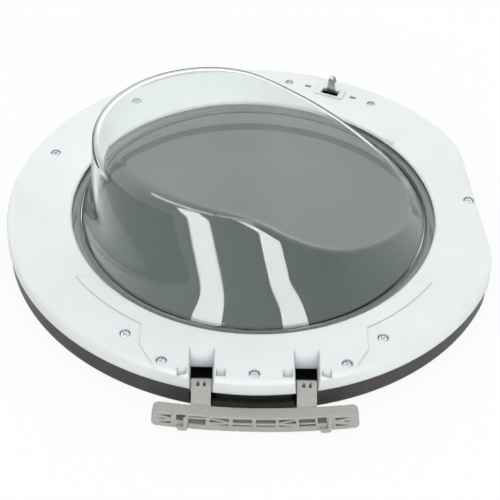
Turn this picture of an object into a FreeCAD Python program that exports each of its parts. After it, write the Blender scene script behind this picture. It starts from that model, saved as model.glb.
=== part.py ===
import FreeCAD, Part
import math
import os
from FreeCAD import Vector as V

os.makedirs("parts", exist_ok=True)

# Washing machine door lying on its front face. Millimetres.
# Origin: porthole axis on the front plane. +Z out of the inner face, hinge towards -Y,
# flat side of the outline towards +X.

# Outline of the door: a circle with one flat side and rounded corners.
RING_R = 230.0
FLAT_DEPTH = 17.8
FLAT_ANGLE = 5.3
CORNER_R = 100.0
FLAT_DISTANCE = RING_R - FLAT_DEPTH

# Heights of the stack, from the front plane upwards.
FRONT_T = 4.0
WINDOW_T = 4.0
SPACER_H = 21.0
GLASS_T = 4.5
SEAL_T = 1.5
FACE_T = 3.0
WINDOW_Z = FRONT_T
SPACER_Z = WINDOW_Z + WINDOW_T
GLASS_Z = SPACER_Z + SPACER_H
SEAL_Z = GLASS_Z + GLASS_T
FACE_UNDER_Z = SEAL_Z + SEAL_T
FACE_Z = FACE_UNDER_Z + FACE_T

# Window, spacer, seal and glass flange share one outer radius, a ring's width inside the edge.
RING_WIDTH = 52.5
STACK_R = RING_R - RING_WIDTH
WINDOW_LAP = 8.0
SPACER_WALL = 6.5
SEAL_WIDTH = 6.0

# Glass bowl: height above the flange of each oval section, and its inset from the mouth at left,
# right and sides.
FLANGE_WIDTH = 14.5
BOWL_R = STACK_R - FLANGE_WIDTH
BOWL_SECTIONS = [
    (0.0, 0.0, 0.0, 0.0),
    (6.5, 5.0, 7.0, 6.0),
    (16.5, 9.7, 17.7, 13.7),
    (29.5, 12.0, 31.0, 21.5),
    (34.0, 12.2, 33.6, 23.8),
    (45.0, 12.6, 40.0, 29.4),
    (60.0, 13.2, 48.8, 37.1),
    (80.0, 14.0, 60.4, 47.3),
    (106.5, 15.0, 75.8, 60.8),
]
# Top of the bowl: height over X, the same all along Y. Its two ends lie past the flange.
BOWL_TOP = [
    (-120.0, 129.0),
    (-60.0, 126.5),
    (-25.0, 122.0),
    (0.0, 114.5),
    (30.0, 98.5),
    (60.0, 83.5),
    (90.0, 70.5),
    (120.0, 60.0),
    (150.0, 48.5),
]
BOWL_TOP_LEFT_H = 129.5
BOWL_TOP_RIGHT_H = 36.0
BOWL_TOP_MARGIN = 2.5
BOWL_RIM_R = 12.0

# Inner frame.
HOLE_LAP = 7.3
HOLE_R = STACK_R - HOLE_LAP
HOLE_ROUND = 1.6
SKIRT_T = 3.0
SKIRT_H = 15.0
SKIRT_Z = FACE_Z - SKIRT_H
FACE_ROUND = 5.0
PAD_H = 0.5
PAD_BAND_WIDTH = 17.8
LAND_Z = FACE_Z + PAD_H
# Corners of the raised land: half width, and distance in from the door edge.
PAD_OUTLINE = [(98.0, 130.0), (98.0, 43.0), (80.0, 8.0), (70.0, -10.0)]
BUMP_ANGLES = [39.0, 219.0]
BUMP_R = 6.0
BUMP_H = 0.7

# Outer frame.
FRAME_INSET = 2.0
FRAME_WALL = 3.0
FRAME_WALL_IN_R = RING_R - FRAME_INSET - FRAME_WALL
BAND_GAP = 0.6
FRAME_TOP_Z = SKIRT_Z - BAND_GAP
FRAME_ROUND = 5.5
SEAT_GAP = 0.5
SEAT_RIB_T = 2.5
SEAT_RIB_H = 12.0
FRAME_BOSS_R = 4.2
LIP_H = 2.5
LIP_Z = FRONT_T + LIP_H
LIP_MID_H = 7.3
LIP_MID_Z = FRONT_T + LIP_MID_H

# Screws: head in a shallow counterbore of the inner frame.
HEAD_R = 4.1
LATCH_HEAD_R = 3.3
HEAD_H = 1.3
HEAD_ROUND = 0.9
CROSS_SHARE = 0.66
CROSS_WIDTH = 1.3
CROSS_DEPTH = 1.0
SHANK_R = 1.9
SHANK_LENGTH = 20.0
SHANK_GAP = 0.05
COUNTERBORE_GAP = 0.7
COUNTERBORE_DEPTH = 2.1
CLEARANCE_HOLE_R = 2.25
PILOT_EXTRA = 2.0
SEAT_Z = FACE_Z - COUNTERBORE_DEPTH

# Screw places: distance in from the door edge, and angle about the porthole axis.
FRAME_SCREW_INSETS = [25.2, 25.0, 22.2, 24.6, 24.6]
FRAME_SCREW_ANGLES = [5.2, 126.0, 157.5, -122.8, -57.2]
HINGE_SCREW_INSETS = [10.0, 10.5, 10.0]
HINGE_SCREW_ANGLES = [-111.0, -90.0, -69.0]

# Hinge across X: arm, bush flanges, carrier cheeks and pin head on each side.
ARM_X = 44.7
ARM_WIDTH = 16.8
ARM_GAP = 1.6
BUSH_FLANGE_T = 1.3
CHEEK_GAP = 0.4
CHEEK_T = 4.4
PIN_HEAD_T = 2.0
CHEEK_REACH = ARM_WIDTH / 2 + BUSH_FLANGE_T + CHEEK_GAP
PIN_REACH = CHEEK_REACH + CHEEK_T

# Pin axis: as near the edge as the pin heads can be inside the outer frame's wall.
PIN_R = 2.5
PIN_HEAD_R = 3.2
PIN_HEAD_GAP = 0.305
PIN_DROP = 21.5
PIN_Z = FACE_Z - PIN_DROP
PIN_Y = PIN_HEAD_R - math.sqrt((FRAME_WALL_IN_R - PIN_HEAD_GAP) ** 2 - (ARM_X + PIN_REACH + PIN_HEAD_T) ** 2)

# Arm profile as steps from the pin axis: away from the door, then up.
ARM_PEAK = (6.0, 13.5)
ARM_PLATE_TOP_H = 1.5
ARM_PLATE_LOW_H = -7.0
ARM_ELBOW = (14.0, 3.3)
ARM_ROOT_LAP = 1.0
KNUCKLE_R = 6.4
NOTCH_X = 2.7
NOTCH_WIDTH = 2.4
NOTCH_NEAR = 7.2
NOTCH_FAR = 11.0
NOTCH_FLOOR_H = 6.0

# Hinge bar, bowed about a centre high above it, placed from the pin axis.
BAR_REACH = 25.8
BAR_DROP = 16.5
BAR_BACK_Y = PIN_Y - BAR_REACH
BAR_LOW_Z = PIN_Z - BAR_DROP
BAR_T = 11.9
BAR_OUTER_Y = BAR_BACK_Y - BAR_T
BAR_HEIGHT = 17.3
BAR_BOW_R = 520.0
BAR_LEFT = 87.0
BAR_RIGHT = 90.0
BAR_CORNER_R = 5.0
BAR_EDGE_R = 0.8
CELL_DEPTH = 6.0
# Cell outlines on the bar's outer face: place along the bar, height above its lower edge.
CELLS = [
    [(-55.8, 14.6), (-41.2, 14.6), (-41.2, 15.7), (-55.8, 15.7)],
    [(-55.8, 6.4), (-41.2, 6.4), (-41.2, 12.6), (-55.8, 12.6)],
    [(-37.9, 14.9), (-21.4, 11.4), (-21.4, 14.9)],
    [(-37.9, 13.2), (-37.9, 9.8), (-24.7, 10.4)],
    [(-34.0, 6.8), (-21.4, 6.8), (-21.4, 8.6)],
    [(-17.9, 10.6), (-1.4, 10.6), (-1.4, 14.8), (-17.9, 14.8)],
    [(-17.9, 6.8), (-1.4, 6.8), (-1.4, 8.2), (-17.9, 8.2)],
    [(1.9, 10.6), (18.7, 10.6), (18.7, 14.8), (1.9, 14.8)],
    [(1.9, 6.8), (18.7, 6.8), (18.7, 8.2), (1.9, 8.2)],
    [(21.8, 11.4), (36.1, 14.9), (21.8, 14.9)],
    [(36.1, 13.2), (24.7, 10.4), (36.1, 9.8)],
    [(21.8, 6.8), (34.0, 6.8), (21.8, 8.6)],
    [(38.7, 10.4), (52.9, 10.4), (52.9, 14.8), (38.7, 14.8)],
    [(38.7, 6.4), (52.9, 6.4), (52.9, 8.8), (38.7, 8.8)],
    [(-82.4, 13.4), (-71.1, 11.4), (-71.1, 14.6)],
    [(-82.9, 9.6), (-76.7, 8.6), (-76.7, 10.4)],
    [(-81.4, 4.4), (-70.7, 4.4), (-70.7, 7.0)],
    [(83.4, 13.4), (70.0, 11.2), (70.0, 14.6)],
    [(83.9, 9.6), (77.8, 8.6), (77.8, 10.4)],
    [(82.4, 4.4), (70.0, 4.4), (70.0, 7.2)],
]
# Lug stations along the bar, each with a pocket and a mounting hole beside it.
LUG_X = (-60.3, 61.3)
LUG_WIDTH = 9.0
LUG_DEPTH = 2.8
LUG_BASE_H = 0.2
LUG_FOOT_H = 5.0
LUG_TOP_H = 16.0
LUG_BLADE = 3.2
LUG_BLADE_FOOT_H = 3.4
LUG_BLADE_TIP = 0.6
LUG_ROUND = 2.4
LUG_POCKET_SHIFT = -2.6
LUG_POCKET_WIDTH = 7.6
LUG_POCKET_H = (9.2, 16.2)
MOUNT_HOLE_R = 2.2
MOUNT_HOLE_H = 16.0

# Bushes pressed in the arm knuckles, two to an arm.
BUSH_WALL = 1.4
BUSH_GAP = 0.05
BUSH_PRESS_GAP = 0.02
BUSH_LENGTH = 8.2
BUSH_FLANGE_R = 5.4

# Hinge slots in the inner frame, placed from the pin axis.
SLOT_WIDTH = 18.6
SLOT_DRAFT = 1.4
SLOT_WALL = 1.5
SCOOP_REACH = 27.0
SCOOP_Y = PIN_Y + SCOOP_REACH
SCOOP_R = 13.3
SCOOP_T = 2.5
POCKET_OFFSET = 16.4
POCKET_WIDTH = 8.0
POCKET_REACH = 0.4
POCKET_Y = PIN_Y + POCKET_REACH
POCKET_LENGTH = (7.4, 10.4)
POCKET_DEPTH = 4.6
POCKET_WALL = 1.2

# Hinge carrier, inside the outer frame's wall.
CARRIER_HALF = 88.0
CARRIER_GAP = 0.4
CARRIER_WALL_R = FRAME_WALL_IN_R - CARRIER_GAP
CARRIER_WALL = 2.5
CARRIER_STEP = 2.2
CARRIER_OUT_R = CARRIER_WALL_R - CARRIER_STEP
CARRIER_BASE_WIDTH = 22.4
CARRIER_IN_R = CARRIER_OUT_R - CARRIER_BASE_WIDTH
CARRIER_WALL_DROP = 3.5
CARRIER_WALL_TOP_Z = FACE_UNDER_Z - CARRIER_WALL_DROP
CARRIER_BASE_T = 3.0
CARRIER_BOSS_R = 4.6
CHEEK_OUT = 4.0
CHEEK_IN = 10.0
CHEEK_H = 6.0

# Latch, drawn with the radial direction along X and turned into place.
LATCH_ANGLE = 67.4
LATCH_INSET = 24.0
LATCH_U = RING_R - LATCH_INSET
LATCH_PIVOT_DROP = 13.0
LATCH_PIVOT_Z = FACE_Z - LATCH_PIVOT_DROP
# Limits from the latch pivot, towards the middle of the door and away from it.
LATCH_SLOT_IN = 5.4
LATCH_SLOT_OUT = 3.6
LATCH_SLOT_WIDTH = 17.5
LATCH_FRAME_MARGIN = 6.0
LATCH_FRAME_H = 0.5
LATCH_SCREW_IN = 2.0
LATCH_SCREW_T = 44.6
LATCH_MARK_T = 24.3
LATCH_MARK_LENGTH = 6.0
LATCH_MARK_WIDTH = 3.2
LATCH_MARK_DEPTH = 2.0
HOOK_HALF = 4.2
HOOK_HUB_R = 4.6
# Hook outlines as steps from the pivot: outwards or sideways, then up.
HOOK_SIDE = [
    (-0.6, 0.0), (3.0, 0.0), (3.0, 22.0), (7.2, 21.4), (7.4, 23.6), (3.2, 31.0), (0.8, 31.2), (-0.6, 29.0),
]
HOOK_FRONT = [(4.2, -7.0), (4.2, 14.0), (3.2, 21.0), (2.8, 28.0), (1.6, 30.6), (0.8, 31.2)]
LATCH_PIN_R = 2.0
LATCH_PIN_SHORT = 0.5
BOX_IN = 10.0
BOX_OUT = 8.0
BOX_HALF = 15.0
BOX_H = 18.0
BOX_WALL = 2.0
LATCH_BAR_IN = 9.0
LATCH_BAR_OUT = 5.0
LATCH_BAR_HALF = 52.0
LATCH_BAR_T = 4.0
SPRING_R = 3.2
SPRING_WIRE_R = 0.6
SPRING_PITCH = 1.5
SPRING_TURNS = 4
SPRING_GAP = 0.5
SPRING_LEG = 5.0


def point(r, angle, z=0.0):
    """Point at a radius and an angle about the porthole axis."""
    a = math.radians(angle)
    return V(r * math.cos(a), r * math.sin(a), z)


def outline_face(inset, z):
    """Door outline moved inwards by inset, as a face at height z."""
    r = RING_R - inset
    flat = FLAT_DISTANCE - inset
    corner = CORNER_R - inset
    cx = FLAT_DISTANCE - CORNER_R
    cy = math.sqrt((RING_R - CORNER_R) ** 2 - cx ** 2)
    tangent = math.atan2(cy, cx)
    mid = tangent / 2

    def on_corner(angle, side):
        return V(cx + corner * math.cos(angle), side * (cy + corner * math.sin(angle)), z)

    circle_end = V(r * math.cos(tangent), r * math.sin(tangent), z)
    circle_start = V(circle_end.x, -circle_end.y, z)
    edges = [
        Part.Arc(circle_end, V(-r, 0, z), circle_start).toShape(),
        Part.Arc(circle_start, on_corner(mid, -1), V(flat, -cy, z)).toShape(),
        Part.makeLine(V(flat, -cy, z), V(flat, cy, z)),
        Part.Arc(V(flat, cy, z), on_corner(mid, 1), circle_end).toShape(),
    ]
    face = Part.Face(Part.Wire(edges))
    face.rotate(V(0, 0, 0), V(0, 0, 1), FLAT_ANGLE)
    return face


def outline_prism(inset, z0, z1):
    """Solid of the door outline between two heights."""
    return outline_face(inset, z0).extrude(V(0, 0, z1 - z0))


def disc(r, z0, z1, x=0.0, y=0.0):
    """Upright cylinder between two heights."""
    return Part.makeCylinder(r, z1 - z0, V(x, y, z0))


def tube(r_out, r_in, z0, z1):
    """Upright ring between two heights."""
    return disc(r_out, z0, z1).cut(disc(r_in, z0 - 1, z1 + 1))


def block(x0, x1, y0, y1, z0, z1):
    """Box between pairs of limits."""
    return Part.makeBox(x1 - x0, y1 - y0, z1 - z0, V(x0, y0, z0))


def prism(points, direction):
    """Polygon pushed along a direction."""
    wire = Part.makePolygon(points + [points[0]])
    return Part.Face(wire).extrude(direction)


def edges_at(solid, z):
    """Edges that lie wholly at height z."""
    def level(edge):
        box = edge.BoundBox
        return max(abs(box.ZMin - z), abs(box.ZMax - z)) < 1e-4

    return [e for e in solid.Edges if level(e)]


def turned(shape):
    """Latch piece turned from the X axis to its place on the ring."""
    return shape.rotated(V(0, 0, 0), V(0, 0, 1), LATCH_ANGLE)


def latch_screw_points():
    """Centres of the two latch screws."""
    u = LATCH_U - LATCH_SCREW_IN
    r = math.hypot(u, LATCH_SCREW_T)
    half = math.degrees(math.atan2(LATCH_SCREW_T, u))
    return [point(r, LATCH_ANGLE + side * half) for side in (-1, 1)]


def frame_screw_points():
    """Centres of the screws that hold the two frames together."""
    return [point(RING_R - inset, a) for inset, a in zip(FRAME_SCREW_INSETS, FRAME_SCREW_ANGLES)]


def hinge_screw_points():
    """Centres of the screws that hold the hinge carrier."""
    return [point(RING_R - inset, a) for inset, a in zip(HINGE_SCREW_INSETS, HINGE_SCREW_ANGLES)]


def outer_frame():
    """Moulded outer frame: front flange, side wall, window seat and screw bosses."""
    shell = outline_prism(FRAME_INSET, 0, FRAME_TOP_Z)
    shell = shell.makeFillet(FRAME_ROUND, edges_at(shell, 0))
    shell = shell.cut(outline_prism(FRAME_INSET + FRAME_WALL, FRONT_T, FRAME_TOP_Z + 1))
    shell = shell.cut(disc(STACK_R - WINDOW_LAP, -1, FRONT_T + 1))
    gap_out = ARM_X + ARM_WIDTH / 2 + ARM_GAP
    gap_in = ARM_X - ARM_WIDTH / 2 - ARM_GAP
    shell = shell.cut(block(-gap_in, gap_in, -RING_R - 5, -CARRIER_IN_R, LIP_MID_Z, FRAME_TOP_Z + 1))
    for x0, x1 in ((-gap_out, -gap_in), (gap_in, gap_out)):
        shell = shell.cut(block(x0, x1, -RING_R - 5, -CARRIER_IN_R, LIP_Z, FRAME_TOP_Z + 1))
    rib_in = STACK_R + SEAT_GAP
    added = [tube(rib_in + SEAT_RIB_T, rib_in, FRONT_T - 1, FRONT_T + SEAT_RIB_H)]
    holes = []
    for p in frame_screw_points():
        added.append(disc(FRAME_BOSS_R, FRONT_T - 1, FACE_UNDER_Z, p.x, p.y))
        holes.append(pilot(p))
    for p in latch_screw_points():
        added.append(disc(FRAME_BOSS_R, FRONT_T - 1, FACE_UNDER_Z - LATCH_BAR_T, p.x, p.y))
        holes.append(pilot(p))
    return shell.fuse(added).removeSplitter().cut(holes)


def pilot(p):
    """Blind hole that takes a screw shank."""
    return disc(SHANK_R + SHANK_GAP, SEAT_Z - SHANK_LENGTH - PILOT_EXTRA, FACE_Z, p.x, p.y)


def outer_window():
    """Smoked cover disc that lies on the front flange."""
    return disc(STACK_R, WINDOW_Z, WINDOW_Z + WINDOW_T)


def spacer_ring():
    """Ring that keeps the glass off the window."""
    return tube(STACK_R, STACK_R - SPACER_WALL, SPACER_Z, GLASS_Z)


def glass_seal():
    """Soft ring between glass flange and inner frame."""
    return tube(STACK_R, STACK_R - SEAL_WIDTH, SEAL_Z, FACE_UNDER_Z)


def bowl_wall(inset):
    """Slanting bowl wall as a solid, its ovals smaller by inset."""
    wires = []
    for height, in_left, in_right, in_side in BOWL_SECTIONS:
        centre = V((in_left - in_right) / 2, 0, SEAL_Z + height)
        half = BOWL_R - in_side - inset
        reach = max(BOWL_R - (in_left + in_right) / 2 - inset, half)
        wires.append(Part.Wire(Part.Ellipse(centre, reach, half).toShape()))
    return Part.makeLoft(wires, True, False)


def bowl_top(drop):
    """Everything below the slanted top of the bowl, lowered by drop."""
    reach = STACK_R + BOWL_TOP_MARGIN
    places = [(-reach, BOWL_TOP_LEFT_H)] + BOWL_TOP + [(reach, BOWL_TOP_RIGHT_H)]
    curve = Part.BSplineCurve()
    curve.interpolate([V(x, -RING_R, z - drop) for x, z in places])
    low = SEAL_Z - drop - GLASS_T
    corners = [curve.EndPoint, V(reach, -RING_R, low), V(-reach, -RING_R, low), curve.StartPoint]
    wire = Part.Wire([curve.toShape()] + Part.makePolygon(corners).Edges)
    return Part.Face(wire).extrude(V(0, 2 * RING_R, 0))


def rounded_bowl(inset, rim_r):
    """Bowl as a full solid, smaller by inset, with its rim rounded."""
    solid = bowl_wall(inset).common(bowl_top(inset))
    rim = [e for e in solid.Edges if e.BoundBox.ZMax > SEAL_Z + 1 and e.BoundBox.YLength > BOWL_R / 2]
    return solid.makeFillet(rim_r, rim)


def glass_bowl():
    """Pressed glass bowl with a clamped flange."""
    outer = rounded_bowl(0, BOWL_RIM_R)
    inner = rounded_bowl(GLASS_T, BOWL_RIM_R - GLASS_T)
    flange = disc(STACK_R, GLASS_Z, SEAL_Z)
    mouth = disc(BOWL_R - GLASS_T, GLASS_Z - 1, SEAL_Z)
    return outer.fuse(flange).cut(mouth).cut(inner)


def hinge_sides():
    """Places of the two arms along X."""
    return (-ARM_X, ARM_X)


def scoop_blocks(x):
    """Walls and rolled lead-in of one hinge slot."""
    half = SLOT_WIDTH / 2
    reach = half + SLOT_DRAFT + SLOT_WALL
    blocks = []
    for side in (-1, 1):
        near = x + side * half
        far = x + side * reach
        blocks.append(block(min(near, far), max(near, far), -RING_R, SCOOP_Y, SKIRT_Z, FACE_Z))
    roll_z = LAND_Z - SCOOP_R
    x0 = x - reach
    length = 2 * reach
    axis = V(1, 0, 0)
    full = Part.makeCylinder(SCOOP_R, length, V(x0, SCOOP_Y, roll_z), axis)
    hollow = Part.makeCylinder(SCOOP_R - SCOOP_T, length, V(x0, SCOOP_Y, roll_z), axis)
    quarter = block(x0, x0 + length, SCOOP_Y - SCOOP_R, SCOOP_Y, roll_z, FACE_Z)
    blocks.append(full.cut(hollow).common(quarter))
    return blocks


def slot_cuts(x):
    """What one hinge slot removes: the open slot and the air over the rolled lead-in."""
    half = SLOT_WIDTH / 2
    wide = half + SLOT_DRAFT
    start_y = -RING_R - 5
    end_y = SCOOP_Y - SCOOP_R
    roll_z = LAND_Z - SCOOP_R
    high = LAND_Z + 5
    right = [(half, SKIRT_Z - 2), (half, SKIRT_Z), (wide, LAND_Z), (wide, high)]
    left = [(-across, z) for across, z in reversed(right)]
    section = [V(x + across, start_y, z) for across, z in right + left]
    trough = prism(section, V(0, SCOOP_Y - start_y, 0))
    under = block(x - wide, x + wide, end_y, SCOOP_Y, SKIRT_Z - 3, roll_z)
    roll = Part.makeCylinder(SCOOP_R, 2 * wide, V(x - wide, SCOOP_Y, roll_z), V(1, 0, 0))
    return [trough.cut([under, roll])]


def pocket_places():
    """Centre and length of the small pockets beside the slots."""
    places = []
    for x in hinge_sides():
        for side in (-1, 1):
            centre = x + side * POCKET_OFFSET
            length = POCKET_LENGTH[0] if abs(centre) > ARM_X else POCKET_LENGTH[1]
            places.append((centre, length))
    return places


def pocket_cup(x):
    """Thicker plastic under one pocket."""
    half = POCKET_WIDTH / 2 + POCKET_WALL
    low = LAND_Z - POCKET_DEPTH - POCKET_WALL
    return block(x - half, x + half, -RING_R, POCKET_Y, low, FACE_Z)


def pocket_wedge(x, length):
    """Pocket whose floor falls towards the door edge."""
    x0 = x - POCKET_WIDTH / 2
    high = LAND_Z + 3
    corners = [
        V(x0, POCKET_Y, LAND_Z),
        V(x0, POCKET_Y - length, LAND_Z - POCKET_DEPTH),
        V(x0, POCKET_Y - length, high),
        V(x0, POCKET_Y, high),
    ]
    return prism(corners, V(POCKET_WIDTH, 0, 0))


def hinge_pad():
    """Raised land round the hinge: a strip along the hole, and a plate that runs out over the edge."""
    z0 = FACE_Z - FACE_ROUND
    hole = HOLE_R + HOLE_ROUND
    right = [V(x, inset - RING_R, z0) for x, inset in PAD_OUTLINE]
    left = [V(-p.x, p.y, z0) for p in reversed(right)]
    band = tube(HOLE_R + PAD_BAND_WIDTH, hole, FACE_Z - PAD_H, LAND_Z)
    band = band.common(block(-RING_R, RING_R, -RING_R, right[0].y, FACE_Z - PAD_H, LAND_Z))
    raised = outline_prism(0, z0, LAND_Z)
    raised = raised.makeFillet(FACE_ROUND, edges_at(raised, LAND_Z))
    raised = raised.cut([outline_prism(SKIRT_T, z0 - 1, FACE_UNDER_Z), disc(hole, z0 - 1, LAND_Z + 1)])
    plate = raised.common(prism(right + left, V(0, 0, LAND_Z - z0)))
    return band.fuse(plate).removeSplitter()


def latch_relief():
    """Raised frame round the latch slot."""
    half = LATCH_SLOT_WIDTH / 2 + LATCH_FRAME_MARGIN
    u0 = LATCH_U - LATCH_SLOT_IN - LATCH_FRAME_MARGIN / 2
    u1 = LATCH_U + LATCH_SLOT_OUT + LATCH_FRAME_MARGIN / 2
    return turned(block(u0, u1, -half, half, FACE_Z - LATCH_FRAME_H, FACE_Z + LATCH_FRAME_H))


def latch_cuts():
    """Latch slot and the two shallow marks beside it."""
    half = LATCH_SLOT_WIDTH / 2
    u0 = LATCH_U - LATCH_SLOT_IN
    u1 = LATCH_U + LATCH_SLOT_OUT
    high = FACE_Z + LATCH_FRAME_H + 1
    cuts = [block(u0, u1, -half, half, FACE_UNDER_Z - 1, high)]
    u0 = LATCH_U - LATCH_MARK_WIDTH / 2
    u1 = LATCH_U + LATCH_MARK_WIDTH / 2
    for side in (-1, 1):
        t0 = side * LATCH_MARK_T - LATCH_MARK_LENGTH / 2
        t1 = t0 + LATCH_MARK_LENGTH
        cuts.append(block(u0, u1, t0, t1, FACE_Z - LATCH_MARK_DEPTH, high))
    return [turned(c) for c in cuts]


def inner_frame():
    """Moulded inner frame: flat ring with a skirt, hinge slots, latch slot and screw seats."""
    whole = outline_prism(0, SKIRT_Z, FACE_Z)
    whole = whole.makeFillet(FACE_ROUND, edges_at(whole, FACE_Z))
    body = whole.cut(outline_prism(SKIRT_T, SKIRT_Z - 1, FACE_UNDER_Z))
    body = body.cut(disc(HOLE_R, SKIRT_Z - 1, FACE_Z + 1))
    hole_edges = [e for e in edges_at(body, FACE_Z) if e.BoundBox.XLength < 2 * HOLE_R + 1]
    body = body.makeFillet(HOLE_ROUND, hole_edges)
    blocks = []
    for x in hinge_sides():
        blocks.extend(scoop_blocks(x))
    blocks.extend(pocket_cup(x) for x, length in pocket_places())
    body = body.fuse([b.common(whole) for b in blocks])
    body = body.fuse([hinge_pad(), latch_relief()] + bumps()).removeSplitter()
    cuts = latch_cuts()
    for x in hinge_sides():
        cuts.extend(slot_cuts(x))
    cuts.extend(pocket_wedge(x, length) for x, length in pocket_places())
    high = FACE_Z + PAD_H + 1
    seats = [(p, HEAD_R) for p in frame_screw_points() + hinge_screw_points()]
    seats.extend((p, LATCH_HEAD_R) for p in latch_screw_points())
    for p, head_r in seats:
        cuts.append(disc(CLEARANCE_HOLE_R, FACE_UNDER_Z - 1, high, p.x, p.y))
        cuts.append(disc(head_r + COUNTERBORE_GAP, SEAT_Z, high, p.x, p.y))
    return body.cut(cuts)


def bumps():
    """Small round bumps cut off by the hole edge."""
    keep = tube(RING_R, HOLE_R + HOLE_ROUND, FACE_Z - BUMP_H, FACE_Z + BUMP_H)
    places = [point(HOLE_R, angle) for angle in BUMP_ANGLES]
    return [disc(BUMP_R, FACE_Z - BUMP_H, FACE_Z + BUMP_H, p.x, p.y).common(keep) for p in places]


def screw(p, head_r):
    """Cross-recessed screw standing in its counterbore."""
    top = SEAT_Z + HEAD_H
    head = disc(head_r, SEAT_Z, top)
    head = head.makeFillet(HEAD_ROUND, edges_at(head, top))
    long = head_r * CROSS_SHARE
    wide = CROSS_WIDTH / 2
    floor = top - CROSS_DEPTH
    cross = block(-long, long, -wide, wide, floor, top + 1)
    cross = cross.fuse(block(-wide, wide, -long, long, floor, top + 1))
    solid = head.cut(cross).fuse(disc(SHANK_R, SEAT_Z - SHANK_LENGTH, SEAT_Z))
    solid.rotate(V(0, 0, 0), V(0, 0, 1), math.degrees(math.atan2(p.y, p.x)))
    solid.translate(V(p.x, p.y, 0))
    return solid


def screw_group(points, head_r):
    """Equal screws as separate solids of one node."""
    return Part.makeCompound([screw(p, head_r) for p in points])


def cheek_places():
    """Inner and outer limits of the four bearing cheeks along X."""
    places = []
    for x in hinge_sides():
        places.append((x - PIN_REACH, x - CHEEK_REACH))
        places.append((x + CHEEK_REACH, x + PIN_REACH))
    return places


def hinge_carrier():
    """Moulded carrier inside the door that holds the hinge pins."""
    base_z = FRONT_T
    wall_in = CARRIER_WALL_R - CARRIER_WALL
    limits = block(-CARRIER_HALF, CARRIER_HALF, -RING_R, 0, base_z - 1, FACE_Z)
    body = tube(CARRIER_OUT_R, CARRIER_IN_R, base_z, base_z + CARRIER_BASE_T).common(limits)
    half = ARM_X - SLOT_WIDTH / 2 - SLOT_DRAFT - SLOT_WALL - CHEEK_GAP
    middle = block(-half, half, -RING_R, 0, base_z, CARRIER_WALL_TOP_Z)
    parts = [tube(CARRIER_WALL_R, wall_in, base_z, CARRIER_WALL_TOP_Z).common(middle)]
    holes = []
    for x0, x1 in cheek_places():
        parts.append(block(x0, x1, PIN_Y - CHEEK_OUT, PIN_Y + CHEEK_IN, base_z, PIN_Z + CHEEK_H))
    for p in hinge_screw_points():
        parts.append(disc(CARRIER_BOSS_R, base_z, FACE_UNDER_Z, p.x, p.y))
        holes.append(pilot(p))
    start = V(-CARRIER_HALF, PIN_Y, PIN_Z)
    holes.append(Part.makeCylinder(PIN_R + BUSH_PRESS_GAP, 2 * CARRIER_HALF, start, V(1, 0, 0)))
    return body.fuse(parts).removeSplitter().cut(holes)


def hinge_pin(side):
    """Headed pin through two cheeks and one arm."""
    start = V(side * ARM_X - PIN_REACH, PIN_Y, PIN_Z)
    shank = Part.makeCylinder(PIN_R, 2 * PIN_REACH, start, V(1, 0, 0))
    head_start = V(side * (ARM_X + PIN_REACH), PIN_Y, PIN_Z)
    head = Part.makeCylinder(PIN_HEAD_R, PIN_HEAD_T, head_start, V(side, 0, 0))
    return shank.fuse(head).removeSplitter()


def bar_point(s, h, y):
    """Point on the bowed bar: place along it and height above its lower edge."""
    a = s / BAR_BOW_R
    r = BAR_BOW_R - h
    return V(r * math.sin(a), y, BAR_LOW_Z + BAR_BOW_R - r * math.cos(a))


def bar_prism(places, y0, y1):
    """Polygon in bar coordinates pushed from y0 to y1."""
    return prism([bar_point(s, h, y0) for s, h in places], V(0, y1 - y0, 0))


def hinge_bar():
    """Bowed bar with rounded ends and cast cells in its outer face."""
    corners = {}
    for h in (0, BAR_HEIGHT):
        corners[h] = [bar_point(s, h, BAR_BACK_Y) for s in (-BAR_LEFT, 0, BAR_RIGHT)]
    edges = [Part.Arc(*corners[h]).toShape() for h in corners]
    for end in (0, 2):
        edges.append(Part.makeLine(corners[0][end], corners[BAR_HEIGHT][end]))
    face = Part.Face(Part.Wire(Part.sortEdges(edges)[0]))
    bar = face.extrude(V(0, -BAR_T, 0))
    bar = bar.makeFillet(BAR_CORNER_R, [e for e in bar.Edges if e.BoundBox.YLength > BAR_T - 0.01])
    bar = bar.makeFillet(BAR_EDGE_R, [e for e in bar.Edges if e.BoundBox.YLength < 0.01])
    cells = [bar_prism(places, BAR_OUTER_Y - 1, BAR_OUTER_Y + CELL_DEPTH) for places in CELLS]
    return bar.cut(cells)


def lug_pocket(s):
    """Pocket and mounting hole beside one lug."""
    mid = s + LUG_POCKET_SHIFT
    half = LUG_POCKET_WIDTH / 2
    low, high = LUG_POCKET_H
    places = [(mid - half, low), (mid + half, low), (mid + half, high), (mid - half, high)]
    pocket = bar_prism(places, BAR_OUTER_Y - 1, BAR_OUTER_Y + CELL_DEPTH)
    hole_x = bar_point(mid, (low + high) / 2, 0).x
    start = V(hole_x, BAR_BACK_Y + 1, BAR_LOW_Z + MOUNT_HOLE_H)
    hole = Part.makeCylinder(MOUNT_HOLE_R, BAR_T + 2, start, V(0, -1, 0))
    return [pocket, hole]


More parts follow.
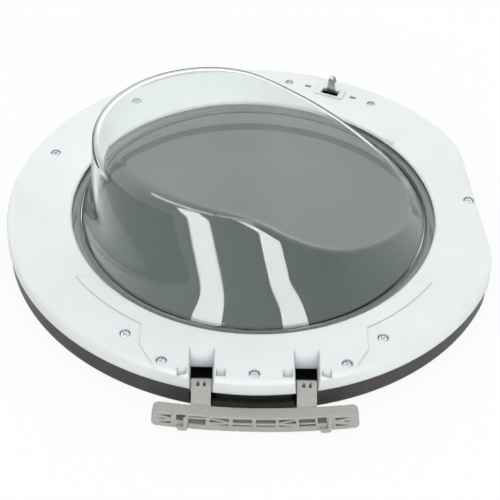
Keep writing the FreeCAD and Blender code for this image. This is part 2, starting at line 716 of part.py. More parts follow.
def lug(s):
    """Hooked lug: a foot along the lower edge and an upright blade at one side."""
    half = LUG_WIDTH / 2
    inner_y = BAR_OUTER_Y + 1
    outer_y = BAR_OUTER_Y - LUG_DEPTH
    places = [(s - half, LUG_BASE_H), (s + half, LUG_BASE_H), (s + half, LUG_FOOT_H), (s - half, LUG_FOOT_H)]
    foot = bar_prism(places, inner_y, outer_y)
    mid_z = bar_point(s, LUG_FOOT_H / 2, 0).z
    low_edges = [e for e in foot.Edges if e.BoundBox.YLength > LUG_DEPTH and e.BoundBox.ZMax < mid_z]
    foot = foot.makeFillet(LUG_ROUND, low_edges)
    x0 = bar_point(s + half, 0, 0).x - LUG_BLADE
    z0 = bar_point(s, LUG_BLADE_FOOT_H, 0).z
    z1 = bar_point(s, LUG_TOP_H, 0).z
    corners = [
        V(x0, inner_y, z0),
        V(x0, outer_y, z0),
        V(x0, outer_y, z0 + LUG_FOOT_H),
        V(x0, BAR_OUTER_Y - LUG_BLADE_TIP, z1),
        V(x0, inner_y, z1),
    ]
    blade = prism(corners, V(LUG_BLADE, 0, 0))
    return foot.fuse(blade).removeSplitter()


def hinge_arm(x):
    """Arm from the bar up over the lip and down to the knuckle on the pin."""
    x0 = x - ARM_WIDTH / 2
    root_y = BAR_BACK_Y - ARM_ROOT_LAP
    peak_z = PIN_Z + ARM_PEAK[1]
    profile = [
        (PIN_Y - ARM_PEAK[0], peak_z),
        (root_y, PIN_Z + ARM_PLATE_TOP_H),
        (root_y, PIN_Z + ARM_PLATE_LOW_H),
        (PIN_Y - ARM_ELBOW[0], PIN_Z + ARM_ELBOW[1]),
        (PIN_Y - KNUCKLE_R, PIN_Z),
        (PIN_Y, PIN_Z),
        (PIN_Y, PIN_Z + KNUCKLE_R),
    ]
    web = prism([V(x0, y, z) for y, z in profile], V(ARM_WIDTH, 0, 0))
    knuckle = Part.makeCylinder(KNUCKLE_R, ARM_WIDTH, V(x0, PIN_Y, PIN_Z), V(1, 0, 0))
    arm = web.fuse(knuckle).removeSplitter()
    notches = []
    for side in (-1, 1):
        mid = x + side * NOTCH_X
        half = NOTCH_WIDTH / 2
        y0 = PIN_Y - NOTCH_FAR
        y1 = PIN_Y - NOTCH_NEAR
        notches.append(block(mid - half, mid + half, y0, y1, PIN_Z + NOTCH_FLOOR_H, peak_z + 1))
    return arm.cut(notches)


def hinge_bracket():
    """Die-cast hinge: bowed bar, two lugs and two arms in one piece."""
    body = hinge_bar()
    body = body.fuse([hinge_arm(x) for x in hinge_sides()] + [lug(s) for s in LUG_X])
    body = body.removeSplitter()
    cuts = []
    for s in LUG_X:
        cuts.extend(lug_pocket(s))
    bore_r = PIN_R + BUSH_GAP + BUSH_WALL + BUSH_PRESS_GAP
    for x in hinge_sides():
        start = V(x - ARM_WIDTH / 2 - 1, PIN_Y, PIN_Z)
        cuts.append(Part.makeCylinder(bore_r, ARM_WIDTH + 2, start, V(1, 0, 0)))
    return body.cut(cuts)


def hinge_bush(x, side):
    """Flanged bush in one end of an arm bore."""
    face_x = x + side * ARM_WIDTH / 2
    start = V(face_x, PIN_Y, PIN_Z)
    outward = V(side, 0, 0)
    r_in = PIN_R + BUSH_GAP
    flange = Part.makeCylinder(BUSH_FLANGE_R, BUSH_FLANGE_T, start, outward)
    sleeve = Part.makeCylinder(r_in + BUSH_WALL, BUSH_LENGTH, start, -outward)
    hole_start = V(face_x + side * (BUSH_FLANGE_T + 1), PIN_Y, PIN_Z)
    hole = Part.makeCylinder(r_in, BUSH_LENGTH + BUSH_FLANGE_T + 2, hole_start, -outward)
    return flange.fuse(sleeve).removeSplitter().cut(hole)


def latch_housing():
    """Moulded latch holder: a box for the hook on a bar that is screwed under the ring."""
    u0 = LATCH_U - BOX_IN
    u1 = LATCH_U + BOX_OUT
    low = FACE_UNDER_Z - BOX_H
    half = BOX_HALF - BOX_WALL
    box = block(u0, u1, -BOX_HALF, BOX_HALF, low, FACE_UNDER_Z)
    bar_u = (LATCH_U - LATCH_BAR_IN, LATCH_U + LATCH_BAR_OUT)
    bar_z = FACE_UNDER_Z - LATCH_BAR_T
    bar = block(bar_u[0], bar_u[1], -LATCH_BAR_HALF, LATCH_BAR_HALF, bar_z, FACE_UNDER_Z)
    cuts = [block(u0 + BOX_WALL, u1 - BOX_WALL, -half, half, low + BOX_WALL, FACE_Z)]
    start = V(LATCH_U, -BOX_HALF - 1, LATCH_PIVOT_Z)
    cuts.append(Part.makeCylinder(LATCH_PIN_R + BUSH_PRESS_GAP, 2 * BOX_HALF + 2, start, V(0, 1, 0)))
    for side in (-1, 1):
        cuts.append(disc(CLEARANCE_HOLE_R, low, FACE_Z, LATCH_U - LATCH_SCREW_IN, side * LATCH_SCREW_T))
    return turned(box.fuse(bar).removeSplitter().cut(cuts))


def latch_hook():
    """Cast hook that turns on the latch pin and stands out of the slot."""
    start = V(LATCH_U, -HOOK_HALF, LATCH_PIVOT_Z)
    along = V(0, 1, 0)
    side = prism([start + V(u, 0, h) for u, h in HOOK_SIDE], along * 2 * HOOK_HALF)
    hub = Part.makeCylinder(HOOK_HUB_R, 2 * HOOK_HALF, start, along)
    middle = V(LATCH_U - BOX_IN, 0, LATCH_PIVOT_Z)
    right = [middle + V(0, t, h) for t, h in HOOK_FRONT]
    left = [middle + V(0, -t, h) for t, h in reversed(HOOK_FRONT)]
    front = prism(right + left, V(BOX_IN + BOX_OUT, 0, 0))
    bore = Part.makeCylinder(LATCH_PIN_R + BUSH_GAP, 2 * HOOK_HALF + 2, start - along, along)
    return turned(side.fuse(hub).removeSplitter().common(front).cut(bore))


def latch_pin():
    """Plain pin across the latch box."""
    half = BOX_HALF - LATCH_PIN_SHORT
    start = V(LATCH_U, -half, LATCH_PIVOT_Z)
    return turned(Part.makeCylinder(LATCH_PIN_R, 2 * half, start, V(0, 1, 0)))


def latch_spring():
    """Torsion spring round the latch pin, beside the hook: a wire swept along leg, coil and leg."""
    height = SPRING_PITCH * SPRING_TURNS
    slope = V(0, SPRING_R, SPRING_PITCH / (2 * math.pi)).normalize()
    first = V(SPRING_R, 0, 0)
    last = V(SPRING_R, 0, height)
    coil = Part.makeHelix(SPRING_PITCH, height, SPRING_R).Edges
    legs = [Part.makeLine(first - slope * SPRING_LEG, first), Part.makeLine(last, last + slope * SPRING_LEG)]
    path = Part.Wire([legs[0]] + coil + [legs[1]])
    section = Part.Wire(Part.Circle(first - slope * SPRING_LEG, slope, SPRING_WIRE_R).toShape())
    spring = path.makePipeShell([section], True, True)
    spring.rotate(V(0, 0, 0), V(1, 0, 0), -90)
    beside = HOOK_HALF + SPRING_GAP + 2 * SPRING_WIRE_R
    spring.translate(V(LATCH_U, beside, LATCH_PIVOT_Z))
    return turned(spring)


def main():
    """Write every node as its own file."""
    left, right = hinge_sides()
    nodes = {
        "outer_frame": outer_frame(),
        "outer_window": outer_window(),
        "spacer_ring": spacer_ring(),
        "glass_bowl": glass_bowl(),
        "glass_seal": glass_seal(),
        "inner_frame": inner_frame(),
        "frame_screws": screw_group(frame_screw_points(), HEAD_R),
        "hinge_carrier": hinge_carrier(),
        "hinge_screws": screw_group(hinge_screw_points(), HEAD_R),
        "hinge_pin_left": hinge_pin(-1),
        "hinge_pin_right": hinge_pin(1),
        "hinge_bracket": hinge_bracket(),
        "hinge_bush_left_outer": hinge_bush(left, -1),
        "hinge_bush_left_inner": hinge_bush(left, 1),
        "hinge_bush_right_inner": hinge_bush(right, -1),
        "hinge_bush_right_outer": hinge_bush(right, 1),
        "latch_housing": latch_housing(),
        "latch_screws": screw_group(latch_screw_points(), LATCH_HEAD_R),
        "latch_pin": latch_pin(),
        "latch_spring": latch_spring(),
        "latch_hook": latch_hook(),
    }
    for name, shape in nodes.items():
        shape.exportStep("parts/" + name + ".step")


main()
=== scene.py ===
import math
import bpy
import numpy as np
from mathutils import Matrix


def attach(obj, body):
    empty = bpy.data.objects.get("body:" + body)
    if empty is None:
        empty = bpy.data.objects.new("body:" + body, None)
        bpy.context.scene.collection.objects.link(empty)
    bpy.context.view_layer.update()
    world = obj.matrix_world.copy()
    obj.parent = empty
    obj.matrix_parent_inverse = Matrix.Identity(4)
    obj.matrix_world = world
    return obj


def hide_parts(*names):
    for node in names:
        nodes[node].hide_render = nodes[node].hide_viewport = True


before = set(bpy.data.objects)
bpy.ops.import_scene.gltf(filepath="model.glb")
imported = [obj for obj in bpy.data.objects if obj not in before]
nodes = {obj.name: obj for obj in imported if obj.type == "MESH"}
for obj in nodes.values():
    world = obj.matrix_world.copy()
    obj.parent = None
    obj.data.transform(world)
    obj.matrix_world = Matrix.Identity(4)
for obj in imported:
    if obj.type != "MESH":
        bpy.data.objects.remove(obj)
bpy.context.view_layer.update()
scene = bpy.context.scene
scene.view_settings.view_transform = "Standard"


# Outer frame: the shallow dark tray that forms the front and side of the door.
# Graphite ABS, injection moulded with a fine spark-eroded grain, semi-gloss.
# It carries the window and takes the screws that come down from the inner frame.
def new_finish(name, colour, roughness, metal=0.0):
    """A node material with one Principled shader. Returns the material, its node tree and the shader."""
    finish = bpy.data.materials.new(name)
    finish.use_nodes = True
    tree = finish.node_tree
    shader = tree.nodes["Principled BSDF"]
    shader.inputs["Base Color"].default_value = (*colour, 1.0)
    shader.inputs["Roughness"].default_value = roughness
    shader.inputs["Metallic"].default_value = metal
    return finish, tree, shader


def grain(tree, scale, detail=2.0, stretch=(1.0, 1.0, 1.0)):
    """Noise on object coordinates: scale is in cells per metre, stretch squeezes it along each axis."""
    place = tree.nodes.new("ShaderNodeTexCoord")
    mapping = tree.nodes.new("ShaderNodeMapping")
    mapping.inputs["Scale"].default_value = stretch
    noise = tree.nodes.new("ShaderNodeTexNoise")
    noise.inputs["Scale"].default_value = scale
    noise.inputs["Detail"].default_value = detail
    tree.links.new(place.outputs["Object"], mapping.inputs["Vector"])
    tree.links.new(mapping.outputs["Vector"], noise.inputs["Vector"])
    return noise.outputs[0]


def tone(tree, value, dark, light, socket, low=0.35, high=0.65):
    """Colour that runs from dark to light while value runs from low to high, sent to socket."""
    ramp = tree.nodes.new("ShaderNodeValToRGB")
    ramp.color_ramp.elements[0].position = low
    ramp.color_ramp.elements[0].color = (*dark, 1.0)
    ramp.color_ramp.elements[1].position = high
    ramp.color_ramp.elements[1].color = (*light, 1.0)
    tree.links.new(value, ramp.inputs["Fac"])
    tree.links.new(ramp.outputs["Color"], socket)


def spread(tree, value, least, most, socket, low=0.3, high=0.7):
    """Number that runs from least to most while value runs from low to high, sent to socket."""
    span = tree.nodes.new("ShaderNodeMapRange")
    span.inputs["From Min"].default_value = low
    span.inputs["From Max"].default_value = high
    span.inputs["To Min"].default_value = least
    span.inputs["To Max"].default_value = most
    tree.links.new(value, span.inputs["Value"])
    tree.links.new(span.outputs["Result"], socket)


def relief(tree, value, strength, depth, shader, edge=None):
    """Bump of that depth in metres from value.
    With edge, corners are first shaded as if rounded by that radius."""
    bump = tree.nodes.new("ShaderNodeBump")
    bump.inputs["Strength"].default_value = strength
    bump.inputs["Distance"].default_value = depth
    tree.links.new(value, bump.inputs["Height"])
    if edge:
        rounded = tree.nodes.new("ShaderNodeBevel")
        rounded.samples = 4
        rounded.inputs["Radius"].default_value = edge
        tree.links.new(rounded.outputs["Normal"], bump.inputs["Normal"])
    tree.links.new(bump.outputs["Normal"], shader.inputs["Normal"])


def dress(name, finish):
    """Give a frame node one finish all over."""
    mesh = nodes[name].data
    mesh.materials.clear()
    mesh.materials.append(finish)


graphite, tree, shader = new_finish("graphite_moulding", (0.058, 0.055, 0.051), 0.32)
cloud = grain(tree, 60.0, 3.0)
tone(tree, cloud, (0.054, 0.051, 0.047), (0.064, 0.061, 0.057), shader.inputs["Base Color"])
spread(tree, cloud, 0.29, 0.36, shader.inputs["Roughness"])
shader.inputs["Specular IOR Level"].default_value = 0.3
relief(tree, grain(tree, 2600.0), 0.12, 0.0001, shader)
dress("outer_frame", graphite)


# Outer window: flat round cover seen through the glass from behind.
# Smoked clear acrylic sheet, laser cut and polished, about 4 mm thick.
# It lies loose on the front flange and is clamped by the spacer ring.
SMOKE = (0.15, 0.19, 0.184)
smoked, tree, shader = new_finish("smoked_sheet", SMOKE, 0.0)
shader.inputs["Transmission Weight"].default_value = 1.0
shader.inputs["IOR"].default_value = 1.12
haze = grain(tree, 14.0, 2.0)
tone(tree, haze, (0.147, 0.187, 0.181), (0.153, 0.193, 0.187), shader.inputs["Base Color"])


def pass_lamps(tree, shader, tint):
    """Lets lamp light go straight through a clear piece.
    Shadow rays meet a Transparent shader of that tint."""
    path = tree.nodes.new("ShaderNodeLightPath")
    clear = tree.nodes.new("ShaderNodeBsdfTransparent")
    clear.inputs["Color"].default_value = (*tint, 1.0)
    mix = tree.nodes.new("ShaderNodeMixShader")
    tree.links.new(path.outputs["Is Shadow Ray"], mix.inputs["Fac"])
    tree.links.new(shader.outputs["BSDF"], mix.inputs[1])
    tree.links.new(clear.outputs["BSDF"], mix.inputs[2])
    tree.links.new(mix.outputs["Shader"], tree.nodes["Material Output"].inputs["Surface"])


pass_lamps(tree, shader, SMOKE)
dress("outer_window", smoked)


# Spacer ring: keeps the glass flange off the window.
# Grey polypropylene, moulded as one ring, matt.
# Held between window and glass by the clamping of the two frames.
slate, tree, shader = new_finish("grey_moulding", (0.13, 0.145, 0.14), 0.5)
cloud = grain(tree, 90.0, 3.0)
tone(tree, cloud, (0.125, 0.14, 0.135), (0.135, 0.15, 0.145), shader.inputs["Base Color"])
spread(tree, cloud, 0.45, 0.58, shader.inputs["Roughness"])
relief(tree, grain(tree, 1800.0), 0.1, 0.0001, shader)
dress("spacer_ring", slate)


# Glass bowl: the deep porthole with its slanted top, one pressing about 4.5 mm thick.
# Clear soda-lime glass, pressed hot and fire polished, so it is faintly wavy.
# Its flat flange is clamped between spacer ring and seal.
FOOT = 33.45
FLANGE_LOW = 29.05
FLANGE_R = 177.45
FLANGE_EDGE = 0.8
GLASS = 4.5
RIM_R = 12.0
RIM_NEAR_LEFT_EXTRA = 14.0
SECTION_H = [0.0, 6.5, 16.5, 29.5, 34.0, 45.0, 60.0, 80.0, 106.5]
SECTION_SHIFT = [0.0, -1.0, -4.0, -9.5, -10.7, -13.7, -17.8, -23.2, -30.4]
SECTION_LENGTH = [163.0, 157.0, 149.3, 141.5, 140.1, 136.7, 132.0, 125.8, 117.6]
SECTION_WIDTH = [163.0, 157.0, 149.3, 141.5, 139.2, 133.6, 125.9, 115.7, 102.2]
TOP_X = [-180.0, -120.0, -60.0, -25.0, 0.0, 30.0, 60.0, 90.0, 120.0, 150.0, 180.0]
TOP_Z = [129.4, 128.9, 126.5, 122.0, 114.5, 98.5, 83.5, 70.5, 60.0, 48.5, 36.0]
TURNS = 320
WALL_ROWS, ARC_ROWS, TOP_ROWS = 46, 14, 30
HALVINGS = 48
PROBE = 0.5


def smooth_through(x, y):
    """Natural cubic spline through points, for arrays: second slopes solve the usual tridiagonal system."""
    x, y = np.array(x), np.array(y)
    step = np.diff(x)
    i = np.arange(1, len(x) - 1)
    system = np.eye(len(x))
    system[i, i - 1] = step[i - 1]
    system[i, i] = 2 * (step[i - 1] + step[i])
    system[i, i + 1] = step[i]
    right = np.zeros(len(x))
    right[i] = 6 * ((y[i + 1] - y[i]) / step[i] - (y[i] - y[i - 1]) / step[i - 1])
    bend = np.linalg.solve(system, right)

    def value(q):
        k = np.clip(np.searchsorted(x, q) - 1, 0, len(x) - 2)
        a = (x[k + 1] - q) / step[k]
        b = (q - x[k]) / step[k]
        curve = ((a ** 3 - a) * bend[k] + (b ** 3 - b) * bend[k + 1]) * step[k] ** 2 / 6
        return a * y[k] + b * y[k + 1] + curve

    return value


def unit(v):
    """Vectors of length one along the last axis."""
    return v / np.linalg.norm(v, axis=-1, keepdims=True)


section_shift = smooth_through(SECTION_H, SECTION_SHIFT)
section_length = smooth_through(SECTION_H, SECTION_LENGTH)
section_width = smooth_through(SECTION_H, SECTION_WIDTH)
top_height = smooth_through(TOP_X, TOP_Z)
around = np.linspace(0, 2 * np.pi, TURNS, endpoint=False)
near_left = np.clip(-np.cos(around), 0, 1) * np.clip(-np.sin(around), 0, 1)
rim_round = RIM_R + RIM_NEAR_LEFT_EXTRA * near_left


def bowl_skin(inset, drop, rim_r):
    """One skin of the bowl as rows of points, from its foot up the wall, over the rim, to the top's middle.
    At each angle the wall runs through ovals that shift and shrink with height; the top is a height over x.
    They meet where both heights agree, found by halving. An arc of rim_r that touches both rounds the corner."""
    def wall(h):
        x = section_shift(h) + (section_length(h) - inset) * np.cos(around)
        y = (section_width(h) - inset) * np.sin(around)
        return np.stack([x, y, FOOT + h + 0 * x], -1)

    def top(xy):
        return np.concatenate([xy, (top_height(xy[..., 0]) - drop)[..., None]], -1)

    low = np.zeros(TURNS)
    high = np.full(TURNS, SECTION_H[-1])
    for _ in range(HALVINGS):
        mid = (low + high) / 2
        p = wall(mid)
        above = p[:, 2] > top_height(p[:, 0]) - drop
        high = np.where(above, mid, high)
        low = np.where(above, low, mid)
    corner = wall(low)
    middle = np.array([corner[:, 0].mean(), 0.0])
    down = unit(wall(low - PROBE) - corner)
    inward = unit(middle - corner[:, :2])
    across = unit(top(corner[:, :2] + inward) - corner)
    edge = unit(np.roll(corner, -1, 0) - np.roll(corner, 1, 0))
    down_square = down - (down * edge).sum(-1, keepdims=True) * edge
    across_square = across - (across * edge).sum(-1, keepdims=True) * edge
    opening = np.arccos((unit(down_square) * unit(across_square)).sum(-1))
    reach = rim_r / np.tan(opening / 2)
    down_reach = reach / np.linalg.norm(down_square, axis=-1)
    across_reach = reach / np.linalg.norm(across_square, axis=-1)
    slant = np.linalg.norm(corner - wall(low - PROBE), axis=-1) / PROBE
    touch_h = low - down_reach / slant
    touch_low = wall(touch_h)
    flat_share = np.linalg.norm(across[:, :2], axis=-1)
    touch_high = top(corner[:, :2] + inward * (across_reach * flat_share)[:, None])
    wall_rows = wall(np.linspace(0, 1, WALL_ROWS)[:, None] * touch_h)
    t = np.linspace(0, 1, ARC_ROWS)[1:, None, None]
    weight = np.sin(opening / 2)[None, :, None]
    total = (1 - t) ** 2 + 2 * t * (1 - t) * weight + t ** 2
    arc = ((1 - t) ** 2 * touch_low + 2 * t * (1 - t) * weight * corner + t ** 2 * touch_high) / total
    s = np.linspace(0, 1, TOP_ROWS)[1:-1, None, None]
    top_rows = top(touch_high[None, :, :2] * (1 - s) + middle * s)
    pole = top(middle[None])[0]
    return np.concatenate([wall_rows, arc, top_rows]), pole


def corner_arc(r0, z0, r1, z1, r2, z2):
    """Four points of a small round from (r0, z0) to (r2, z2) about the corner (r1, z1)."""
    t = np.linspace(0, 1, 4)
    r = (1 - t) ** 2 * r0 + 2 * t * (1 - t) * r1 + t ** 2 * r2
    z = (1 - t) ** 2 * z0 + 2 * t * (1 - t) * z1 + t ** 2 * z2
    return np.stack([r, z], -1)


def closed_skin(name, rows, poles):
    """Mesh of a closed skin from points in mm: a grid of rows by angles with a fan to a pole at each end."""
    n_rows, n_turns = rows.shape[:2]
    points = np.concatenate([rows.reshape(-1, 3), poles]) / 1000.0
    row = np.arange(n_rows - 1)[:, None] * n_turns
    here = np.arange(n_turns)[None, :]
    after = (here + 1) % n_turns
    upper = row + n_turns
    quads = np.stack([row + here, row + after, upper + after, upper + here], -1).reshape(-1, 4)
    first, last = n_rows * n_turns, n_rows * n_turns + 1
    end = (n_rows - 1) * n_turns
    start_fan = np.stack([np.full(n_turns, first), after[0], here[0]], -1)
    end_fan = np.stack([np.full(n_turns, last), end + here[0], end + after[0]], -1)
    mesh = bpy.data.meshes.new(name)
    mesh.from_pydata(points.tolist(), [], quads.tolist() + start_fan.tolist() + end_fan.tolist())
    mesh.polygons.foreach_set("use_smooth", np.ones(len(mesh.polygons), bool))
    mesh.update()
    piece = bpy.data.objects.new(name, mesh)
    scene.collection.objects.link(piece)
    return piece


inner_rows, inner_pole = bowl_skin(GLASS, GLASS, rim_round - GLASS)
outer_rows, outer_pole = bowl_skin(0.0, 0.0, rim_round)
mouth_r = SECTION_WIDTH[0] - GLASS
foot_profile = np.concatenate([
    [[mouth_r, FOOT - 1.5], [mouth_r, FLANGE_LOW + 2 * FLANGE_EDGE]],
    corner_arc(mouth_r, FLANGE_LOW + FLANGE_EDGE, mouth_r, FLANGE_LOW, mouth_r + FLANGE_EDGE, FLANGE_LOW),
    [[163.0, FLANGE_LOW], [170.0, FLANGE_LOW]],
    corner_arc(FLANGE_R - FLANGE_EDGE, FLANGE_LOW, FLANGE_R, FLANGE_LOW, FLANGE_R, FLANGE_LOW + FLANGE_EDGE),
    [[FLANGE_R, (FLANGE_LOW + FOOT) / 2]],
    corner_arc(FLANGE_R, FOOT - FLANGE_EDGE, FLANGE_R, FOOT, FLANGE_R - FLANGE_EDGE, FOOT),
    [[173.0, FOOT], [168.5, FOOT], [165.2, FOOT + 0.1]],
])
foot_rows = np.stack([
    foot_profile[:, :1] * np.cos(around),
    foot_profile[:, :1] * np.sin(around),
    np.repeat(foot_profile[:, 1:], TURNS, 1),
], -1)
shell_rows = np.concatenate([inner_rows[::-1], foot_rows, outer_rows])
bowl = closed_skin("glass_bowl_pressing", shell_rows, np.stack([inner_pole, outer_pole]))
clear_glass, tree, shader = new_finish("pressed_glass", (0.955, 0.975, 0.968), 0.0)
shader.inputs["Transmission Weight"].default_value = 1.0
shader.inputs["IOR"].default_value = 1.5
relief(tree, grain(tree, 9.0, 1.0), 0.12, 0.004, shader)
pass_lamps(tree, shader, (0.975, 0.985, 0.98))
bowl.data.materials.append(clear_glass)
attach(bowl, "door")
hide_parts("glass_bowl")


# Glass seal: the soft ring between the glass flange and the inner frame.
# Dark EPDM rubber, moulded, matt with a slight bloom.
# Squeezed in place when the frames are screwed together.
rubber, tree, shader = new_finish("seal_rubber", (0.03, 0.03, 0.03), 0.62)
cloud = grain(tree, 120.0, 3.0)
tone(tree, cloud, (0.025, 0.025, 0.025), (0.04, 0.04, 0.039), shader.inputs["Base Color"])
spread(tree, cloud, 0.55, 0.7, shader.inputs["Roughness"])
relief(tree, grain(tree, 1500.0), 0.2, 0.0001, shader)
dress("glass_seal", rubber)


# Inner frame: the wide white ring round the glass, with its skirt, hinge slots and latch slot.
# White ABS, injection moulded in one shot, satin, with soft edges; the shade in its recesses is painted in as a
# blue-grey.
# Screwed down to the outer frame, the hinge carrier and the latch housing.
# Painted shade: an occlusion node mixes this blue-grey into the white in pockets, scoops and slot corners, in
# place of the shade there.
PAINTED_RECESS_SHADE = (0.46, 0.52, 0.54)
PAINTED_SHADE_REACH = 0.02
white, tree, shader = new_finish("white_moulding", (0.76, 0.788, 0.783), 0.36)
painted_shade_occlusion = tree.nodes.new("ShaderNodeAmbientOcclusion")
painted_shade_occlusion.samples = 8
painted_shade_occlusion.only_local = True
painted_shade_occlusion.inputs["Distance"].default_value = PAINTED_SHADE_REACH
shade = tree.nodes.new("ShaderNodeMix")
shade.data_type = "RGBA"
shade.inputs[6].default_value = (*PAINTED_RECESS_SHADE, 1.0)
spread(tree, painted_shade_occlusion.outputs["AO"], 0.0, 1.0, shade.inputs[0], 0.45, 0.92)
cloud = grain(tree, 22.0, 3.0)
tone(tree, cloud, (0.745, 0.773, 0.768), (0.774, 0.798, 0.793), shade.inputs[7])
tree.links.new(shade.outputs[2], shader.inputs["Base Color"])
spread(tree, cloud, 0.33, 0.4, shader.inputs["Roughness"])
relief(tree, grain(tree, 1400.0), 0.05, 0.0001, shader, edge=0.0025)
dress("inner_frame", white)


# Screws: ten cross-recessed pan heads sunk in the ring, for frame, hinge and latch.
# Steel, cold headed, bright zinc plated with a faint blue passivation.
# Driven into plain pilot holes of the mouldings below.
zinc, tree, shader = new_finish("zinc_plate", (0.5, 0.535, 0.545), 0.34, 1.0)
cloud = grain(tree, 700.0, 3.0)
tone(tree, cloud, (0.38, 0.415, 0.425), (0.62, 0.655, 0.665), shader.inputs["Base Color"])
spread(tree, cloud, 0.26, 0.42, shader.inputs["Roughness"])
relief(tree, grain(tree, 2200.0), 0.15, 0.0001, shader, edge=0.00025)
dress("frame_screws", zinc)
dress("hinge_screws", zinc)
dress("latch_screws", zinc)


# Hinge carrier: the moulding inside the door that holds the hinge pins, seen black between the arms.
# Black glass-filled nylon, moulded, matt.
# Three screws hold it under the ring; its cheeks carry the pins.
soot, tree, shader = new_finish("black_moulding", (0.012, 0.012, 0.011), 0.65)
shader.inputs["Specular IOR Level"].default_value = 0.25
cloud = grain(tree, 90.0, 3.0)
tone(tree, cloud, (0.01, 0.01, 0.009), (0.016, 0.016, 0.015), shader.inputs["Base Color"])
spread(tree, cloud, 0.6, 0.75, shader.inputs["Roughness"])
relief(tree, grain(tree, 1800.0), 0.2, 0.0001, shader)
dress("hinge_carrier", soot)


# Hinge pins: one headed pin to an arm, hidden in the carrier.
# Drawn steel wire, cut and headed, bright.
# Pressed in the carrier cheeks.
drawn, tree, shader = new_finish("drawn_steel", (0.55, 0.55, 0.54), 0.3, 1.0)
streak = grain(tree, 260.0, 4.0, (0.15, 4.0, 4.0))
tone(tree, streak, (0.48, 0.48, 0.47), (0.6, 0.6, 0.59), shader.inputs["Base Color"])
spread(tree, streak, 0.24, 0.38, shader.inputs["Roughness"])
relief(tree, streak, 0.1, 0.0001, shader)
dress("hinge_pin_left", drawn)
dress("hinge_pin_right", drawn)


# Hinge bracket: bowed bar with cast cells, two lugs and two arms, all one piece.
# Zinc die casting with a grey speckled tumble finish, matt.
# The bar is screwed to the machine; the arms turn on the pins.
casting, tree, shader = new_finish("grey_casting", (0.38, 0.38, 0.353), 0.6, 0.05)
speck = grain(tree, 900.0, 4.0)
tone(tree, speck, (0.335, 0.335, 0.31), (0.425, 0.425, 0.397), shader.inputs["Base Color"], 0.3, 0.7)
shader.inputs["Specular IOR Level"].default_value = 0.3
spread(tree, speck, 0.52, 0.7, shader.inputs["Roughness"])
relief(tree, grain(tree, 900.0, 4.0), 0.12, 0.0002, shader, edge=0.0006)
dress("hinge_bracket", casting)


# Hinge bushes: flanged sleeves in the ends of the arm bores.
# Natural acetal, moulded, satin.
# Pressed in the arms; the pins turn in them.
acetal, tree, shader = new_finish("natural_acetal", (0.75, 0.74, 0.7), 0.42)
cloud = grain(tree, 300.0, 2.0)
tone(tree, cloud, (0.72, 0.71, 0.67), (0.78, 0.77, 0.73), shader.inputs["Base Color"])
spread(tree, cloud, 0.38, 0.48, shader.inputs["Roughness"])
relief(tree, grain(tree, 1600.0), 0.1, 0.0001, shader)
for place in ("left_outer", "left_inner", "right_inner", "right_outer"):
    dress("hinge_bush_" + place, acetal)


# Latch housing, pin and spring: the holder under the ring that the hook turns in.
# Black moulding with a drawn steel pin and a spring of the same wire.
# Screwed up under the ring, mostly hidden by it.
dress("latch_housing", soot)
dress("latch_pin", drawn)
dress("latch_spring", drawn)


# Latch hook: the small bright catch that stands out of its slot.
# Zinc casting, nickel plated, with soft tumbled edges.
# Turns on the latch pin against the spring.
nickel, tree, shader = new_finish("nickel_plate", (0.3, 0.295, 0.285), 0.22, 1.0)
cloud = grain(tree, 240.0, 3.0)
tone(tree, cloud, (0.24, 0.236, 0.228), (0.4, 0.396, 0.385), shader.inputs["Base Color"])
spread(tree, cloud, 0.16, 0.3, shader.inputs["Roughness"])
relief(tree, grain(tree, 500.0, 3.0), 0.15, 0.0002, shader, edge=0.0006)
dress("latch_hook", nickel)


# Floor: plain white paper that the door lies on.
# It shows white to the eye and through glass, greyer in gloss, and keeps a faint shadow.
FLOOR_HALF = 12.0
FLOOR_Z = -0.0003
FLOOR_GLOW = 0.92
FLOOR_DIM = 0.42


def reckon(tree, operation, *terms):
    """Result of a Math node. Each term is a plain number or the socket that brings it."""
    node = tree.nodes.new("ShaderNodeMath")
    node.operation = operation
    for slot, term in zip(node.inputs, terms):
        if isinstance(term, float):
            slot.default_value = term
        else:
            tree.links.new(term, slot)
    return node.outputs[0]


paper, tree, shader = new_finish("white_paper", (0.86, 0.86, 0.86), 0.9)
tone(tree, grain(tree, 3.0), (0.85, 0.85, 0.85), (0.87, 0.87, 0.87), shader.inputs["Base Color"])
path = tree.nodes.new("ShaderNodeLightPath")
in_gloss = path.outputs["Is Glossy Ray"]
seen = reckon(tree, "MAXIMUM", path.outputs["Is Camera Ray"], in_gloss)
seen = reckon(tree, "MAXIMUM", seen, path.outputs["Is Transmission Ray"])
glow = tree.nodes.new("ShaderNodeEmission")
tree.links.new(reckon(tree, "MULTIPLY_ADD", in_gloss, -FLOOR_DIM, 1.0), glow.inputs["Strength"])
mix = tree.nodes.new("ShaderNodeMixShader")
tree.links.new(reckon(tree, "MULTIPLY", seen, FLOOR_GLOW), mix.inputs["Fac"])
tree.links.new(shader.outputs["BSDF"], mix.inputs[1])
tree.links.new(glow.outputs["Emission"], mix.inputs[2])
tree.links.new(mix.outputs["Shader"], tree.nodes["Material Output"].inputs["Surface"])
corners = [(x * FLOOR_HALF, y * FLOOR_HALF, FLOOR_Z) for x, y in ((-1, -1), (1, -1), (1, 1), (-1, 1))]
mesh = bpy.data.meshes.new("floor")
mesh.from_pydata(corners, [], [(0, 1, 2, 3)])
mesh.materials.append(paper)
floor = bpy.data.objects.new("floor", mesh)
scene.collection.objects.link(floor)


# Light: a pale room, brighter behind the door and, in shine, on its left, with a low fill lamp in front.
# Two upright strip lamps beside the camera and two rim lamps only draw their shine on the glass and metal.
ROOM_FRONT, ROOM_BACK = 0.6, 1.42
ROOM_LEAN, ROOM_SHINE = 0.55, 1.26


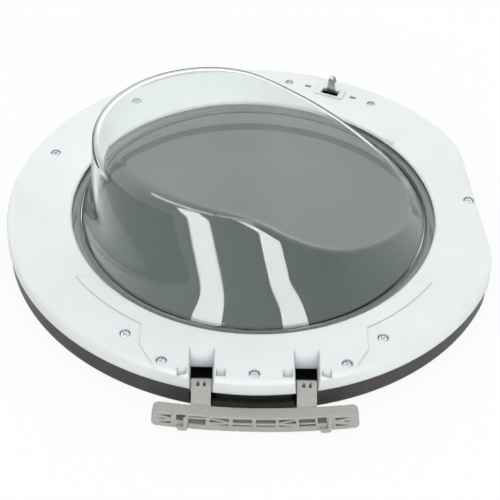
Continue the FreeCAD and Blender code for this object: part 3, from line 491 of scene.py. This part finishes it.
def facing(azimuth, elevation, roll, distance):
    """Placement at a distance from the origin that looks back at it along -Z.
    Azimuth is from -Y towards +X; roll leans the top towards -X."""
    a, e, r = (math.radians(v) for v in (azimuth, elevation, roll))
    back = np.array([math.sin(a) * math.cos(e), -math.cos(a) * math.cos(e), math.sin(e)])
    right = np.array([math.cos(a), math.sin(a), 0.0])
    up = np.cross(back, right)
    right, up = right * math.cos(r) + up * math.sin(r), up * math.cos(r) - right * math.sin(r)
    return Matrix(np.column_stack([right, up, back, back * distance]).tolist() + [[0, 0, 0, 1]])


def softbox(name, azimuth, elevation, distance, width, height, radiance, tilt=0.0, matt=True, gloss=True):
    """Rectangular lamp that faces the door, placed as facing does. Power is radiance times pi times area.
    matt and gloss say whether it lights plain surfaces and shows in shiny ones."""
    lamp = bpy.data.lights.new(name, "AREA")
    lamp.shape = "RECTANGLE"
    lamp.size = width
    lamp.size_y = height
    lamp.energy = radiance * math.pi * width * height
    holder = bpy.data.objects.new(name, lamp)
    holder.matrix_world = facing(azimuth, elevation, tilt, distance)
    holder.visible_diffuse = matt
    holder.visible_glossy = gloss
    holder.visible_transmission = gloss
    scene.collection.objects.link(holder)


softbox("left_strip", -24.5, 24.0, 2.2, 0.6, 2.0, 8.0, tilt=14.0, matt=False)
softbox("right_strip", 26.0, 28.0, 2.2, 0.5, 2.0, 8.0, tilt=-8.0, matt=False)
softbox("rim_strip", -45.0, 62.0, 2.2, 1.6, 0.3, 6.0, matt=False)
softbox("low_rim_strip", 40.0, 64.0, 2.2, 1.6, 0.25, 5.0, matt=False)
softbox("front_fill", 15.0, 12.0, 2.4, 3.0, 0.8, 3.0, gloss=False)
world = bpy.data.worlds.new("room")
world.use_nodes = True
tree = world.node_tree
room = tree.nodes["Background"]
room.inputs["Color"].default_value = (0.97, 0.99, 1.0, 1.0)
place = tree.nodes.new("ShaderNodeTexCoord")
axes = tree.nodes.new("ShaderNodeSeparateXYZ")
tree.links.new(place.outputs["Generated"], axes.inputs["Vector"])
path = tree.nodes.new("ShaderNodeLightPath")
even = tree.nodes.new("ShaderNodeMix")
even.inputs[3].default_value = 1.0
tree.links.new(path.outputs["Is Diffuse Ray"], even.inputs[0])
tree.links.new(reckon(tree, "MULTIPLY_ADD", axes.outputs["X"], -ROOM_LEAN, ROOM_SHINE), even.inputs[2])
shown = reckon(tree, "MULTIPLY", 1.0, even.outputs[0])
spread(tree, axes.outputs["Y"], ROOM_FRONT, ROOM_BACK, shown.node.inputs[0], -0.4, 0.6)
level = reckon(tree, "MAXIMUM", shown, path.outputs["Is Camera Ray"])
tree.links.new(level, room.inputs["Strength"])
scene.world = world


# Camera: above the hinge side, looking down at the middle of the door.
FOCAL = 1718.33
PICTURE = 500.0
AXIS_X, AXIS_Y = 252.569, 239.119
SENSOR = 36.0
ELEVATION, AZIMUTH, ROLL = 40.4002, -1.4692, 2.0437
DISTANCE = 1.636616
lens = bpy.data.cameras.new("camera")
lens.sensor_width = SENSOR
lens.sensor_fit = "HORIZONTAL"
lens.lens = FOCAL * SENSOR / PICTURE
lens.shift_x = (PICTURE / 2 - AXIS_X) / PICTURE
lens.shift_y = (AXIS_Y - PICTURE / 2) / PICTURE
camera = bpy.data.objects.new("camera", lens)
camera.matrix_world = facing(AZIMUTH, ELEVATION, ROLL, DISTANCE)
scene.collection.objects.link(camera)
scene.camera = camera
